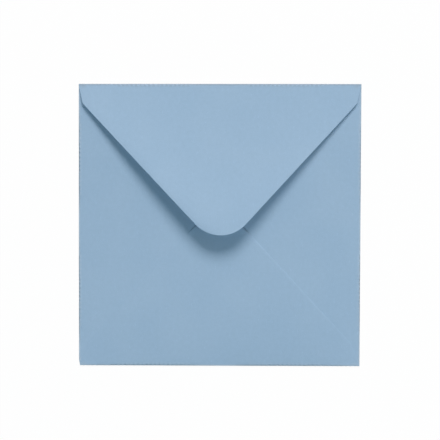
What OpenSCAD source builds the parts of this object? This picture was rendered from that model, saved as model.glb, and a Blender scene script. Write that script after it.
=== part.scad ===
// Square paper envelope, folded from one die-cut sheet and lying on its address side.
// The back panel rests on z = 0. The side flaps fold in over it, the bottom flap folds up over them and is
// glued down on them, and the top flap is folded over but not stuck, so it springs up in a shallow bow.
// Origin: centre of the panel's underside. +Y runs to the top fold, +Z up through the layers.

/* [Envelope] */
// Width over the two side folds
envelope_w = 155; // [120:1:240]
// Height from the bottom fold to the top fold
envelope_h = 155; // [120:1:165]

/* [Paper] */
// Thickness of the sheet
paper_t = 0.15; // [0.1:0.01:0.3]
// Free height inside the empty pocket
pocket_gap = 0.5; // [0.2:0.05:2]

/* [Flap outlines] */
// Reach of the top flap from its fold to its tip, seen from above
top_flap_reach = 82.9; // [75:0.1:95]
// How far the top flap's tip laps over the bottom flap's tip
tip_lap = 10.3; // [4:0.1:20]
// Gap between the tips of the two side flaps
side_tip_gap = 15; // [4:0.5:30]
// Radius of each flap's tip
tip_r = 18.8; // [8:0.1:26]
// Length of the shoulders of the top and side flaps, which leave the fold almost square
shoulder_l = 10.8; // [7:0.1:14]
// How far those shoulders draw in over their length
shoulder_in = 2.2; // [0.3:0.1:3]
// Length of the bottom flap's shoulders
bottom_shoulder_l = 12.8; // [9:0.1:16]
// How far the bottom flap's shoulders draw in, clear of the side folds
bottom_shoulder_in = 4.9; // [1:0.1:6]
// Radius that rounds each shoulder into the slanting edge
shoulder_r = 3; // [2:0.5:12]

/* [Top flap spring] */
// Rise of the flap where it leaves the top fold, in degrees
flap_rise = 8.3; // [6:0.1:25]
// Radius of the shallow bow that levels the flap out towards its tip
flap_bow_r = 2200; // [800:10:3000]
// Clearance of the top fold over the layers below it
flap_clear = 0.1; // [0.05:0.05:0.5]

/* [Corners] */
// Gap between the end of a side fold and the fold that crosses it
fold_play = 0.1; // [0.05:0.05:0.5]

/* [Hidden] */
paper_colour = "#9AB5CF";
fold_steps = 12;
bow_steps = 12;
tip_steps = 14;
shoulder_steps = 6;

// Heights of the layers: back panel, pocket, side flaps, bottom flap
side_flap_z = paper_t + pocket_gap;
bottom_flap_z = side_flap_z + paper_t;
front_z = bottom_flap_z + paper_t;

// Each fold is half a turn of paper whose outer radius fits the layers it wraps
side_fold_r = bottom_flap_z / 2;
bottom_fold_r = front_z / 2;
top_fold_r = (front_z + flap_clear + paper_t) / 2;

side_fold_l = envelope_h - 2 * (top_fold_r + fold_play);
side_flap_reach = (envelope_w - side_tip_gap) / 2;
bottom_flap_reach = envelope_h - top_flap_reach + tip_lap;

// The bow is drawn past the tip, and the outline trims it
bow_length = 1.2 * top_flap_reach;

shoulder = [shoulder_in, shoulder_l];
bottom_shoulder = [bottom_shoulder_in, bottom_shoulder_l];

// Unit vector at angle a
function along(a) = [cos(a), sin(a)];

// Points on an arc about centre c with radius r, from angle a to angle b. An arc that carries on from
// another one leaves out its own first point.
function arc(c, r, a, b, steps, first = 0) = [for (i = [first : steps]) c + r * along(a + (b - a) * i / steps)];

// The same points in the opposite order
function reversed(points) = [for (i = [len(points) - 1 : -1 : 0]) points[i]];

// Right half of a flap's outline, from where its flat part starts to the middle of its rounded tip.
// The fold lies along the X axis. The slanting edge leaves the shoulder and runs tangent into the tip.
function flap_half(fold_l, start, reach, shoulder) =
    let (
        fold_end = [fold_l / 2, start],
        corner = [fold_l / 2 - shoulder.x, shoulder.y],
        tip_centre = [0, reach - tip_r],
        to_tip = tip_centre - corner,
        to_corner = corner - fold_end,
        edge_a = atan2(to_tip.y, to_tip.x) - asin(tip_r / norm(to_tip)),
        shoulder_a = atan2(to_corner.y, to_corner.x),
        set_back = shoulder_r * tan((edge_a - shoulder_a) / 2),
        round_centre = corner - set_back * along(shoulder_a) + shoulder_r * along(shoulder_a + 90)
    )
    concat(
        [fold_end],
        arc(round_centre, shoulder_r, shoulder_a - 90, edge_a - 90, shoulder_steps),
        arc(tip_centre, tip_r, edge_a - 90, 90, tip_steps)
    );

// Whole outline of a flap, its tip towards +Y
module flap_outline(fold_l, start, reach, shoulder) {
    right_half = flap_half(fold_l, start, reach, shoulder);
    left_half = [for (i = [len(right_half) - 2 : -1 : 0]) [-right_half[i].x, right_half[i].y]];
    polygon(concat(right_half, left_half));
}

// Half a turn of paper along the X axis, from the panel's level up to twice the radius
module fold(r, length) {
    translate([0, -r, r])
        rotate([90, 0, 90])
            rotate([0, 0, -90])
                rotate_extrude(angle = 180, $fn = fold_steps * 4)
                    translate([r - paper_t, -length / 2])
                        square([paper_t, length]);
}

// A flap folded flat over the panel: its fold's crown lies on the X axis and its leaf points to -Y
module flat_flap(fold_l, fold_r, reach, shoulder) {
    fold(fold_r, fold_l);
    translate([0, 0, 2 * fold_r - paper_t])
        linear_extrude(paper_t)
            mirror([0, 1])
                flap_outline(fold_l, fold_r, reach, shoulder);
}

// The panel that carries the address, on the underside, flat between the four folds
module back_panel() {
    translate([side_fold_r - envelope_w / 2, bottom_fold_r - envelope_h / 2, 0])
        cube([envelope_w - 2 * side_fold_r, envelope_h - bottom_fold_r - top_fold_r, paper_t]);
}

// Left and right flaps, folded in first
module side_flaps() {
    for (a = [90, -90])
        rotate([0, 0, a])
            translate([0, envelope_w / 2, 0])
                flat_flap(side_fold_l, side_fold_r, side_flap_reach, shoulder);
}

// Bottom flap, folded up over the side flaps and glued face to face with them
module bottom_flap() {
    rotate([0, 0, 180])
        translate([0, envelope_h / 2, 0])
            flat_flap(envelope_w, bottom_fold_r, bottom_flap_reach, bottom_shoulder);
}

// One face of the top flap seen from its side, as inward distance from the fold's crown and height.
// The fold stops short of half a turn by the rise, and the sheet runs on in a wide bow of the same hand.
function sprung_face(depth) =
    let (
        fold_centre = [top_fold_r, top_fold_r],
        fold_end_a = 90 + flap_rise,
        bow_centre = fold_centre - (flap_bow_r - top_fold_r) * along(fold_end_a),
        bow_end_a = fold_end_a - bow_length / flap_bow_r * 180 / PI
    )
    concat(
        arc(fold_centre, top_fold_r - depth, 270, 180, fold_steps),
        arc(fold_centre, top_fold_r - depth, 180, fold_end_a, fold_steps, 1),
        arc(bow_centre, flap_bow_r - depth, fold_end_a, bow_end_a, bow_steps, 1)
    );

// Top flap: the side profile drawn across the whole width, then cut to the flap's outline
module top_flap() {
    translate([0, envelope_h / 2, 0])
        intersection() {
            rotate([90, 0, -90])
                translate([0, 0, -envelope_w / 2])
                    linear_extrude(envelope_w)
                        polygon(concat(sprung_face(0), reversed(sprung_face(paper_t))));
            linear_extrude(top_flap_reach)
                mirror([0, 1])
                    flap_outline(envelope_w, 0, top_flap_reach, shoulder);
        }
}

// The whole sheet, folded and glued: one piece of paper
module envelope() {
    color(paper_colour) {
        back_panel();
        side_flaps();
        bottom_flap();
        top_flap();
    }
}

envelope();
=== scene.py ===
import math
import bpy
import numpy as np
from mathutils.geometry import delaunay_2d_cdt
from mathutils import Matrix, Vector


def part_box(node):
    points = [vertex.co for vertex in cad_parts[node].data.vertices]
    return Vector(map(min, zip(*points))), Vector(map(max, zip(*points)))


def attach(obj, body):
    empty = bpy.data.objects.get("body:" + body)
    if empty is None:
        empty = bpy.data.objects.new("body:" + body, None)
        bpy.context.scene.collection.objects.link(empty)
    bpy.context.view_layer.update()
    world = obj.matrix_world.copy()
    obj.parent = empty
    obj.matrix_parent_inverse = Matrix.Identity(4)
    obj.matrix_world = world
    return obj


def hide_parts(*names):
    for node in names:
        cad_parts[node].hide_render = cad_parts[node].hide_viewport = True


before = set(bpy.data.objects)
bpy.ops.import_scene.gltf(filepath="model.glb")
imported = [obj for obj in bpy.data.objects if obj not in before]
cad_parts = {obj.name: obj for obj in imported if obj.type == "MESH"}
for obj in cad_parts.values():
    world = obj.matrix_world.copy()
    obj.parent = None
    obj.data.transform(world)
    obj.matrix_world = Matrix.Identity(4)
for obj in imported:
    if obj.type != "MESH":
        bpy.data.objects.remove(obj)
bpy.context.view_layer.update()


low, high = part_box("envelope")
envelope_w = (high[0] - low[0]) * 1000
envelope_h = (high[1] - low[1]) * 1000

# The paper, the free height in the empty pocket, the play of the top fold over the layers below it, and that
# of a side fold's end beside the next fold
paper_t = 0.15
pocket_gap = 0.5
top_fold_play = 0.1
side_fold_play = 0.1

# The spring of the top flap: its rise where it leaves its fold, and the radius of its bow
flap_rise = math.radians(8.3)
flap_bow_r = 2200.0

# The rounding of the flaps' tips and shoulders
tip_r = 18.8
shoulder_r = 3.0

# The outer radius of each fold, round the layers inside it, and the edges of the panel between the folds
side_fold_r = (2 * paper_t + pocket_gap) / 2
bottom_fold_r = (3 * paper_t + pocket_gap) / 2
top_fold_r = (4 * paper_t + pocket_gap + top_fold_play) / 2
panel_right = envelope_w / 2 - side_fold_r
panel_top = envelope_h / 2 - top_fold_r
panel_bottom = envelope_h / 2 - bottom_fold_r
side_half = panel_top - side_fold_play

# Each flap: half its width where it leaves the panel and at the end of its fold, its reach, its shoulder,
# the fold's outer radius and turn, and the radius of its bow (none on the flaps that lie flat).
FLAPS = {
    "top": dict(start=panel_right, half=envelope_w / 2, reach=82.9, draw_in=2.2, shoulder=10.8,
                fold_r=top_fold_r, turn=math.pi - flap_rise, bow_r=flap_bow_r),
    "bottom": dict(start=panel_right, half=envelope_w / 2, reach=82.4, draw_in=4.9, shoulder=12.8,
                   fold_r=bottom_fold_r, turn=math.pi, bow_r=None),
    "side": dict(start=side_half, half=side_half, reach=70.0, draw_in=2.2, shoulder=10.8,
                 fold_r=side_fold_r, turn=math.pi, bow_r=None),
}


def fold_length(flap):
    """The length of sheet in a fold."""
    return flap["turn"] * (flap["fold_r"] - paper_t / 2)


def folded(flap, along_sheet):
    """How far in from the fold's crown, and how high, a distance along the sheet ends up."""
    r = flap["fold_r"]
    mid_r = r - paper_t / 2
    turn = np.minimum(along_sheet / mid_r, flap["turn"])
    angle = -math.pi / 2 - turn
    inward = r + mid_r * np.cos(angle)
    height = r + mid_r * np.sin(angle)
    past = np.maximum(along_sheet - fold_length(flap), 0)
    if flap["bow_r"] is None:
        return inward + past, height
    end = -math.pi / 2 - flap["turn"]
    bow = flap["bow_r"] - paper_t / 2
    swing = end - past / bow
    inward = inward + bow * (np.cos(swing) - np.cos(end))
    height = height + bow * (np.sin(swing) - np.sin(end))
    return inward, height


def unfolded(flap, inward):
    """The distance along the sheet that ends up this far in from the fold's crown, past the fold."""
    steps = 4000
    beyond_tip = fold_length(flap) + flap["reach"] * 1.1
    d = np.linspace(fold_length(flap), beyond_tip, steps)
    return np.interp(inward, folded(flap, d)[0], d)


def arc_points(centre, r, a, b, step):
    """Points along an arc from angle a to angle b, no further apart than the step."""
    n = max(2, int(math.ceil(abs(b - a) * r / step)))
    t = np.linspace(a, b, n + 1)
    return np.stack([centre[0] + r * np.cos(t), centre[1] + r * np.sin(t)], 1)


def line_points(a, b, step):
    """Points along a straight line from a to b, about a step apart."""
    n = max(1, int(round(math.dist(a, b) / step)))
    t = np.linspace(0, 1, n + 1)[:, None]
    return np.array(a)[None] * (1 - t) + np.array(b)[None] * t


# How far apart the points stand along each stretch of a cut edge
shoulder_step, rounding_step, slant_step, nose_step = 1.6, 0.5, 1.8, 0.9


def flap_edge(flap):
    """Cut edge from the end of the fold on the right to the tip, as (width from the middle, inward)."""
    quarter = math.pi / 2
    fold_end = (flap["half"], flap["fold_r"])
    corner = (flap["half"] - flap["draw_in"], flap["shoulder"])
    tip = (0.0, flap["reach"] - tip_r)
    to_tip = (tip[0] - corner[0], tip[1] - corner[1])
    edge_a = math.atan2(to_tip[1], to_tip[0]) - math.asin(tip_r / math.hypot(*to_tip))
    shoulder_a = math.atan2(corner[1] - fold_end[1], corner[0] - fold_end[0])
    back = shoulder_r * math.tan((edge_a - shoulder_a) / 2)
    centre = (corner[0] - back * math.cos(shoulder_a) - shoulder_r * math.sin(shoulder_a),
              corner[1] - back * math.sin(shoulder_a) + shoulder_r * math.cos(shoulder_a))
    rounding = arc_points(centre, shoulder_r, shoulder_a - quarter, edge_a - quarter, rounding_step)
    nose = arc_points(tip, tip_r, edge_a - quarter, quarter, nose_step)
    shoulder_line = line_points(fold_end, rounding[0], shoulder_step)
    slant = line_points(rounding[-1], nose[0], slant_step)
    return np.concatenate([shoulder_line, rounding[1:], slant[1:], nose[1:]])


def mirrored(edge):
    """The whole edge, out and back again, from its right half, which ends on the middle line."""
    return np.concatenate([edge, edge[-2::-1] * [-1, 1]])


def edge_distance(points, edge):
    """Distance from each point to a polyline."""
    best = np.full(len(points), np.inf)
    for a, b in zip(edge[:-1], edge[1:]):
        ab = b - a
        t = np.clip(((points - a) @ ab) / (ab @ ab), 0, 1)
        best = np.minimum(best, np.linalg.norm(points - a - t[:, None] * ab, axis=1))
    return best


# The points of the flat blank lie in rows across each fold and just past it, in rows just inside each cut
# edge, and in an even scatter of triangles over the rest. First the rows' distances from the fold or edge,
# and then how far each kind keeps clear of the others.
fold_rows = 8
rows_past_fold = (0.6, 1.5)
rows_inside_cut = (0.25, 0.7, 1.5)
columns = np.linspace(-1, 1, 65)[1:-1]
grid = 2.4
grid_row = grid * math.sqrt(3) / 2
grid_across, grid_up = 33, 36
clear_of_side = 2.5
clear_of_fold = 1.5
clear_of_middle = 0.5
scatter_clear_of_fold = 2.8
scatter_clear_of_tip = 1.0
scatter_clear_of_panel_edge = 1.8


def row_across(half_width, d):
    """A row of points right across a flap, at one distance along the sheet."""
    return np.stack([columns * half_width, np.full(len(columns), d)], 1)


def row_inside(edge, depth):
    """A row of points inside a cut edge by this depth, where they stay clear of the fold, on both sides."""
    along = np.gradient(edge, axis=0)
    along /= np.linalg.norm(along, axis=1)[:, None]
    inside = edge + depth * np.stack([-along[:, 1], along[:, 0]], 1)
    clear = (inside[:, 0] > -clear_of_middle) & (inside[:, 1] > edge[0, 1] + clear_of_fold)
    right = inside[clear]
    return np.concatenate([right, right[right[:, 0] > clear_of_middle] * [-1, 1]])


def row_scattered(i, d):
    """A row of the even scatter, with every other row set off by half a space."""
    across = np.arange(-grid_across, grid_across + 1) * grid
    return np.stack([across + (i % 2 - 0.5) * grid / 2, np.full(len(across), d)], 1)


# Each flap's outline, points and cut edge on the blank, as (width from the middle, distance along the sheet)
flap_loop = {}
flap_points = {}
flap_cut = {}
for name, flap in FLAPS.items():
    plan = flap_edge(flap)
    cut = np.stack([plan[:, 0], unfolded(flap, plan[:, 1])], 1)
    flap_cut[name] = mirrored(cut)
    rows_d = np.linspace(0, fold_length(flap), fold_rows + 1)
    rows_w = np.linspace(flap["start"], flap["half"], fold_rows + 1)
    flap_loop[name] = mirrored(np.concatenate([np.stack([rows_w, rows_d], 1)[:-1], cut]))
    points = [row_across(w, d) for w, d in zip(rows_w, rows_d)]
    points += [row_across(flap["half"] - clear_of_side, rows_d[-1] + more) for more in rows_past_fold]
    points += [row_inside(cut, depth) for depth in rows_inside_cut]
    first_d = rows_d[-1] + scatter_clear_of_fold
    last_d = cut[-1, 1] - scatter_clear_of_tip
    for i, d in enumerate(np.arange(first_d, last_d, grid_row)):
        row = row_scattered(i, d)
        row = row[np.abs(row[:, 0]) < np.interp(d, cut[:, 1], cut[:, 0])]
        if len(row):
            points.append(row[edge_distance(row, flap_cut[name]) > grid])
    flap_points[name] = np.concatenate(points)


def on_blank(side, points):
    """Moves a flap's points from its own frame to the flat blank, with the panel in the middle."""
    w, d = points[:, 0], points[:, 1]
    if side == "top":
        return np.stack([w, panel_top + d], 1)
    if side == "bottom":
        return np.stack([-w, -panel_bottom - d], 1)
    if side == "left":
        return np.stack([-panel_right - d, w], 1)
    return np.stack([panel_right + d, -w], 1)


# The blank's outline, counter-clockwise from the bottom right corner, and every point in it
SIDES = {"right": "side", "top": "top", "left": "side", "bottom": "bottom"}
outline = np.concatenate([on_blank(side, flap_loop[kind]) for side, kind in SIDES.items()])
scatter = []
for i, t in enumerate(np.arange(-grid_up, grid_up + 1) * grid_row):
    row = row_scattered(i, t)
    keep = np.abs(row[:, 0]) < panel_right - scatter_clear_of_panel_edge
    keep &= scatter_clear_of_panel_edge - panel_bottom < t < panel_top - scatter_clear_of_panel_edge
    scatter.append(row[keep])
scatter += [on_blank(side, flap_points[kind]) for side, kind in SIDES.items()]
blank = np.concatenate([outline] + scatter)
loop = list(range(len(outline)))
inside_only = 1
merge_distance = 1e-4
made = delaunay_2d_cdt([tuple(p) for p in blank], [], [loop], inside_only, merge_distance)
flat = np.array([tuple(v) for v in made[0]])
triangles = made[2]

# How far out each vertex of the blank lies from each of the panel's edges, and which flap it belongs to
from_panel = {"right": flat[:, 0] - panel_right, "left": -flat[:, 0] - panel_right,
              "top": flat[:, 1] - panel_top, "bottom": -flat[:, 1] - panel_bottom}
on_edge = 1e-5
region = np.full(len(flat), "panel", dtype="<U6")
for side, far_out in from_panel.items():
    region[far_out > on_edge] = side

# The empty pocket's puff: its height, how far in from the side and bottom folds it is all there, and how
# far past a flap's own fold it starts
puff_h = 1.25
puff_from_side, puff_from_bottom, puff_start = 60, 38, 1.5

# How far the bottom flap stands off the side flaps behind its left and right seams, how much more it does so
# on the right towards the tip, and over what widths from the cut edge, from the fold and about the middle
left_seam, right_seam, right_more = 0.03, 0.09, 0.05
more_from, more_run = 20, 40
seam_w, seam_start, middle_w = 0.45, 6, 20

# How far its unglued tip stands off on the left and right, over what width from the cut edge, from where
# and over what length, and how far it swings sideways
left_tip, right_tip = 0.6, 0.9
tip_w, tip_from, tip_run = 0.2, 72.5, 2.5
bottom_swing = -0.3

# The top flap's own form over its plain bow: how high each unevenness is, then where it is and how far it
# runs, in millimetres, or as a share of the flap's reach or of half its width
half_width_at = ([0, 10, 76, 84], [77, 76, 16, 14])
past_edge = 1.05
left_up, middle_up = 0.95, 0.18
trough_h = 1.4
hollow_h, hollow_at, hollow_run = 0.4, 0.62, 0.2
spring_h, wave_h = 0.42, 0.15
curl_h, curl_tilt, curl_w, curl_start = 0.28, 0.1, 3.8, 12
turned_h, turned_w, turned_side, turned_from, turned_run = 0.2, 1.2, 0.625, 0.3, 0.3
top_swing = 1.16


def ease(q):
    """A smooth rise from 0 to 1."""
    q = np.clip(q, 0, 1)
    return q * q * (3 - 2 * q)


def crown(q):
    """A rise from 0 that levels out at 1."""
    q = np.clip(q, 0, 1)
    return 1 - (1 - q) ** 2


def fade(distance, run):
    """1 at no distance, falling away over about this run."""
    return np.exp(-distance / run)


def puff(flap, inward, x, y):
    """How far the empty pocket lifts the front, which its side and bottom folds hold down."""
    across = crown((envelope_w / 2 - np.abs(x)) / puff_from_side)
    up = crown((y + envelope_h / 2) / puff_from_bottom)
    return ease((inward - flap["fold_r"]) / puff_start) * puff_h * across * up


def lay_panel(s, t):
    """The back of the envelope, flat on the table."""
    return np.stack([s, t, np.full(len(s), paper_t / 2)], 1)


def lay_side(s, t):
    """A side flap, folded in over the pocket and lifted with the front."""
    flap = FLAPS["side"]
    inward, z = folded(flap, np.abs(s) - panel_right)
    x = np.sign(s) * (envelope_w / 2 - inward)
    return np.stack([x, t, z + puff(flap, inward, x, t)], 1)


def lay_bottom(s, t):
    """The bottom flap, folded up and glued. Its unglued tip stands off under the top flap."""
    flap = FLAPS["bottom"]
    d = -t - panel_bottom
    inward, z = folded(flap, d)
    y = inward - envelope_h / 2
    rim = edge_distance(np.stack([s, d], 1), flap_cut["bottom"])
    right = ease(s / middle_w + 0.5)
    seam = left_seam + right * (right_seam - left_seam + right_more * ease((inward - more_from) / more_run))
    seam = seam * (1 - fade(rim, seam_w)) * ease((inward - flap["fold_r"]) / seam_start)
    tip = left_tip + right * (right_tip - left_tip)
    tip = tip * (1 - fade(rim, tip_w)) * ease((inward - tip_from) / tip_run)
    x = s + bottom_swing * inward / flap["reach"]
    return np.stack([x, y, z + puff(flap, inward, s, y) + seam + tip], 1)


def lay_top(s, t):
    """The top flap, folded over and unstuck. It springs higher on its left, hangs in a trough along its
    middle, and curls down all round its cut edge, most of all on the left near its tip."""
    flap = FLAPS["top"]
    d = t - panel_top
    inward, z = folded(flap, d)
    rim = edge_distance(np.stack([s, d], 1), flap_cut["top"])
    run = np.clip(inward / flap["reach"], 0, 1)
    sway = np.clip(s / np.interp(inward, *half_width_at), -past_edge, past_edge)
    hump = np.sin(math.pi * run)
    twist = (middle_up - left_up * sway) * hump
    trough = -trough_h * hump - hollow_h * np.exp(-((run - hollow_at) / hollow_run) ** 2)
    trough = trough * (1 - np.clip(sway, -1, 1) ** 2)
    spring = spring_h * ease(run) - wave_h * np.sin(2 * math.pi * run)
    curl = (curl_tilt * sway - curl_h) * fade(rim, curl_w) * ease(inward / curl_start)
    turned = -turned_h * fade(rim, turned_w) * ease(-sway / turned_side)
    turned = turned * ease((run - turned_from) / turned_run)
    x = s + top_swing * run
    return np.stack([x, envelope_h / 2 - inward, z + twist + trough + spring + curl + turned], 1)


# Fold every point, and find the way the outer face looks there, from two small steps over the blank. What
# is folded up here is the middle of the sheet's thickness.
LAY = {"panel": lay_panel, "right": lay_side, "top": lay_top, "left": lay_side, "bottom": lay_bottom}
small_step = 0.02
middle = np.zeros((len(flat), 3))
outward = np.zeros((len(flat), 3))
for side, lay in LAY.items():
    mine = region == side
    s, t = flat[mine, 0], flat[mine, 1]
    middle[mine] = lay(s, t)
    ds = lay(s + small_step, t) - lay(s - small_step, t)
    dt = lay(s, t + small_step) - lay(s, t - small_step)
    n = np.cross(dt, ds)
    outward[mine] = n / np.linalg.norm(n, axis=1)[:, None]

# Folded by hand, it is not quite square: the right and left folds lean in towards the bottom, the top fold
# drops a little on the right and the bottom one on the left, and the corner there is knocked blunt. The
# top flap goes along at its fold and keeps its own line beyond it.
right_lean, left_lean = 0.56, 0.14
top_drop, bottom_drop = 0.15, 0.32
blunt, blunt_r = 0.6, 1.5
goes_along_for = 12
across = middle[:, 0] / envelope_w + 0.5
up = middle[:, 1] / envelope_h + 0.5
held = np.where(region == "top", 1 - ease((envelope_h / 2 - middle[:, 1]) / goes_along_for), 1)
from_corner = np.hypot(across * envelope_w, up * envelope_h)
middle[:, 0] += right_lean * (up - 0.5) * across * held
middle[:, 0] += left_lean * (1 - across) * (1 - up) ** 3 * held
middle[:, 1] -= bottom_drop * (1 - across) ** 2 * (1 - up) * held
middle[:, 1] -= top_drop * across * up * held
middle[:, 0] += blunt * np.exp(-(from_corner / blunt_r) ** 2)

# The paper's two faces and its cut edge: outer face, inner face, and a wall between them all round
outer = (middle + outward * paper_t / 2) / 1000
inner = (middle - outward * paper_t / 2) / 1000
count = len(flat)
edges = dict.fromkeys(e for a, b, c in triangles for e in ((a, b), (b, c), (c, a)))
rim_edges = [(a, b) for a, b in edges if (b, a) not in edges]
faces = [(c, b, a) for a, b, c in triangles]
faces += [(a + count, b + count, c + count) for a, b, c in triangles]
faces += [(b + count, a + count, a, b) for a, b in rim_edges]
mesh = bpy.data.meshes.new("envelope_sheet")
mesh.from_pydata([tuple(v) for v in np.concatenate([outer, inner])], [], faces)
mesh.validate()
mesh.shade_smooth()
rim_pairs = {tuple(sorted((a + k, b + k))) for a, b in rim_edges for k in (0, count)}
sharp = mesh.attributes.new("sharp_edge", "BOOLEAN", "EDGE")
sharp.data.foreach_set("value", [tuple(sorted(e.vertices)) in rim_pairs for e in mesh.edges])

# The flat blank as the map that the paper's patterns are laid out on
map_span = 330
corner_verts = np.zeros(len(mesh.loops), dtype=np.int32)
mesh.loops.foreach_get("vertex_index", corner_verts)
blank_map = mesh.uv_layers.new(name="blank")
blank_uv = (flat / map_span + 0.5)[corner_verts % count]
blank_map.uv.foreach_set("vector", blank_uv.astype(np.float32).ravel())

# The tint of the creases: how far round its fold each lies, how wide it is, and its shade against the
# paper's. The three that stay shut are lighter and greyer. This is partly the paling of pressed fibres and
# partly painted light: they are much lighter on the left and at the bottom, to lift the shade of folds that
# turn away from the key lamp. The top one is darker.
CREASE_PAINTED_LIGHT = {"right": (0.8, 0.6, (1.15, 1.05, 0.97)), "left": (0.62, 0.38, (1.72, 1.37, 1.18)),
           "bottom": (0.62, 0.42, (1.74, 1.40, 1.18)), "top": (0.8, 0.6, (0.80, 0.74, 0.69))}
tint = np.ones((count, 4))
for side, kind in SIDES.items():
    mine = region == side
    place, spread, shade = CREASE_PAINTED_LIGHT[side]
    from_crease = from_panel[side][mine] - place * fold_length(FLAPS[kind])
    share = np.exp(-(from_crease / spread) ** 2)[:, None]
    tint[mine, :3] = 1 + share * (np.array(shade) - 1)
crease = mesh.attributes.new("crease", "FLOAT_COLOR", "POINT")
crease.data.foreach_set("color", np.tile(tint, (2, 1)).astype(np.float32).ravel())

sheet = bpy.data.objects.new("envelope_sheet", mesh)
bpy.context.scene.collection.objects.link(sheet)

# Paper: dyed right through, uncoated and matt, with a faint cloudiness, a fine felted grain and short
# fibres. All patterns are laid out on the flat blank, so they run on round the folds.
deep_blue = (0.300, 0.441, 0.592)
pale_blue = (0.314, 0.454, 0.603)
paper = bpy.data.materials.new("blue_paper")
paper.use_nodes = True
nodes = paper.node_tree.nodes
links = paper.node_tree.links
shader = nodes["Principled BSDF"]
shader.inputs["Specular IOR Level"].default_value = 0.5
layout = nodes.new("ShaderNodeUVMap")
layout.uv_map = "blank"


def pattern(scale, detail, roughness, stretch=(1, 1, 1)):
    """A noise laid out on the flat blank."""
    size = nodes.new("ShaderNodeMapping")
    size.inputs["Scale"].default_value = stretch
    links.new(layout.outputs["UV"], size.inputs["Vector"])
    noise = nodes.new("ShaderNodeTexNoise")
    noise.noise_dimensions = "2D"
    noise.inputs["Scale"].default_value = scale
    noise.inputs["Detail"].default_value = detail
    noise.inputs["Roughness"].default_value = roughness
    links.new(size.outputs["Vector"], noise.inputs["Vector"])
    return noise.outputs["Fac"]


def ramp(source, start, end):
    """Goes from one colour to the other as the source does, each given as (level, colour)."""
    node = nodes.new("ShaderNodeValToRGB")
    for stop, (level, colour) in zip(node.color_ramp.elements, (start, end)):
        stop.position = level
        stop.color = (*colour, 1)
    links.new(source, node.inputs["Fac"])
    return node.outputs["Color"]


def mixed(kind, factor, a, b):
    """Two colours or patterns, multiplied or added."""
    node = nodes.new("ShaderNodeMix")
    node.data_type = "RGBA"
    node.blend_type = kind
    sockets = {i.name: i for i in node.inputs if i.enabled}
    sockets["Factor"].default_value = factor
    links.new(a, sockets["A"])
    links.new(b, sockets["B"])
    return next(o for o in node.outputs if o.enabled)


def grey(v):
    """The same level of red, green and blue."""
    return (v, v, v)


cloud = ramp(pattern(scale=11, detail=3, roughness=0.5), (0.3, deep_blue), (0.7, pale_blue))
felt = ramp(pattern(scale=140, detail=4, roughness=0.62), (0.25, grey(0.975)), (0.75, grey(1.02)))
grain = ramp(pattern(scale=900, detail=3, roughness=0.6), (0.25, grey(0.955)), (0.75, grey(1.04)))
fibre = pattern(scale=520, detail=2, roughness=0.5, stretch=(1, 0.22, 1))
fibre = ramp(fibre, (0.68, grey(1)), (0.8, grey(1.09)))
# The creases' tint: pale shut folds with painted light on the left and bottom ones, and a darker top fold
crease_painted_light = nodes.new("ShaderNodeAttribute")
crease_painted_light.attribute_name = "crease"
colour = cloud
for layer in (felt, grain, fibre, crease_painted_light.outputs["Color"]):
    colour = mixed("MULTIPLY", 1.0, colour, layer)
links.new(colour, shader.inputs["Base Color"])
matt_finish = ramp(pattern(scale=260, detail=3, roughness=0.6), (0.3, grey(0.78)), (0.7, grey(0.86)))
links.new(matt_finish, shader.inputs["Roughness"])
relief = mixed("ADD", 0.5, pattern(scale=620, detail=4, roughness=0.65),
               pattern(scale=210, detail=2, roughness=0.5))
bump = nodes.new("ShaderNodeBump")
bump.inputs["Strength"].default_value = 0.25
bump.inputs["Distance"].default_value = 0.00004
links.new(relief, bump.inputs["Height"])
links.new(bump.outputs["Normal"], shader.inputs["Normal"])
mesh.materials.append(paper)
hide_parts("envelope")
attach(sheet, "root")


# Table. A plain matt white ground under the envelope, a hair below the paper. The camera sees it near
# white, and it keeps a light shadow under the edges.
table_half = 3
table_drop = 0.00005
table_mesh = bpy.data.meshes.new("table")
table_corners = [(x * table_half, y * table_half, 0) for x, y in ((-1, -1), (1, -1), (1, 1), (-1, 1))]
table_mesh.from_pydata(table_corners, [], [(0, 1, 2, 3)])
table = bpy.data.objects.new("table", table_mesh)
table.location.z = -table_drop
bpy.context.scene.collection.objects.link(table)


def seen_directly(tree, share):
    """This share for rays from the camera, and for ones that glossy or clear things pass on; else 0."""
    rays = tree.nodes.new("ShaderNodeLightPath")
    level = rays.outputs["Is Camera Ray"]
    for kind in ("Is Glossy Ray", "Is Transmission Ray"):
        either = tree.nodes.new("ShaderNodeMath")
        either.operation = "MAXIMUM"
        tree.links.new(level, either.inputs[0])
        tree.links.new(rays.outputs[kind], either.inputs[1])
        level = either.outputs[0]
    scaled = tree.nodes.new("ShaderNodeMath")
    scaled.operation = "MULTIPLY"
    scaled.inputs[1].default_value = share
    tree.links.new(level, scaled.inputs[0])
    return scaled.outputs[0]


def blended(tree, share, lit, seen, target):
    """Gives the target the lit shader, and this share of the other one where it is seen directly."""
    blend = tree.nodes.new("ShaderNodeMixShader")
    tree.links.new(seen_directly(tree, share), blend.inputs["Fac"])
    tree.links.new(lit.outputs[0], blend.inputs[1])
    tree.links.new(seen.outputs[0], blend.inputs[2])
    tree.links.new(blend.outputs[0], tree.nodes[target].inputs["Surface"])


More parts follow.
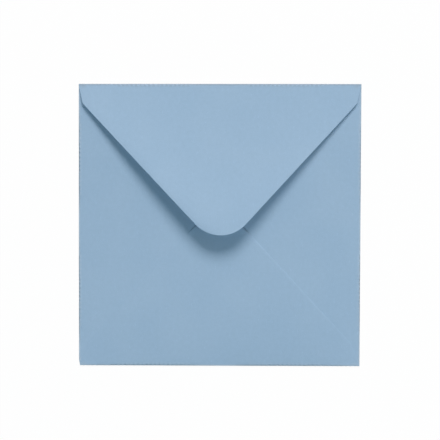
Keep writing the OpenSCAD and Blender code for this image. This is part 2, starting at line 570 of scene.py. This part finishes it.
white = bpy.data.materials.new("white_table")
white.use_nodes = True
table_mesh.materials.append(white)
matt = white.node_tree.nodes["Principled BSDF"]
matt.inputs["Base Color"].default_value = (0.93, 0.93, 0.93, 1)
matt.inputs["Roughness"].default_value = 0.9
matt.inputs["Specular IOR Level"].default_value = 0.2
glow = white.node_tree.nodes.new("ShaderNodeEmission")
blended(white.node_tree, 0.95, matt, glow, "Material Output")


# Light. A wide soft lamp behind the top fold and a little to the right, a weak one close by on the right
# and a cooler one high in front, in an even, cool and pale room, which the camera sees as white.
def softbox(name, distance, turn, rise, size, energy, colour):
    """An oval lamp that faces the envelope, turned from the top fold towards the right, in degrees."""
    turn, rise = math.radians(turn), math.radians(rise)
    lamp = bpy.data.lights.new(name, "AREA")
    lamp.shape = "ELLIPSE"
    lamp.size, lamp.size_y = size
    lamp.energy = energy
    lamp.color = colour
    holder = bpy.data.objects.new(name, lamp)
    out = distance * math.cos(rise)
    holder.location = (out * math.sin(turn), out * math.cos(turn), distance * math.sin(rise))
    holder.rotation_euler = (math.pi / 2 - rise, 0, math.pi - turn)
    bpy.context.scene.collection.objects.link(holder)


cool = (0.765, 1.0, 1.095)
softbox("key", distance=5.0, turn=9, rise=37, size=(3.1, 1.95), energy=225, colour=(1.092, 1.0, 0.972))
softbox("side", distance=1.0, turn=80, rise=36, size=(0.7, 0.7), energy=1.04, colour=(1.07, 1.0, 0.967))
softbox("front", distance=2.4, turn=190, rise=60, size=(1.6, 1.6), energy=17.6, colour=cool)
room = bpy.data.worlds.new("room")
room.use_nodes = True
bpy.context.scene.world = room
fill = room.node_tree.nodes["Background"]
fill.inputs["Color"].default_value = (*cool, 1)
fill.inputs["Strength"].default_value = 0.11
backdrop = room.node_tree.nodes.new("ShaderNodeBackground")
backdrop.inputs["Color"].default_value = (1, 1, 1, 1)
blended(room.node_tree, 1.0, fill, backdrop, "World Output")


# Camera. It looks straight down on the flap side from 1 m, with the small tilt that the envelope's
# four corners show.
camera = bpy.data.cameras.new("camera")
camera.sensor_width = 36
camera.lens = 148.87
camera_object = bpy.data.objects.new("camera", camera)
camera_object.location = (0.03816, 0.02616, 1.0)
camera_object.rotation_euler = (math.radians(-1.34), math.radians(2.164), math.radians(0.101))
bpy.context.scene.collection.objects.link(camera_object)
bpy.context.scene.camera = camera_object
bpy.context.scene.view_settings.view_transform = "Standard"
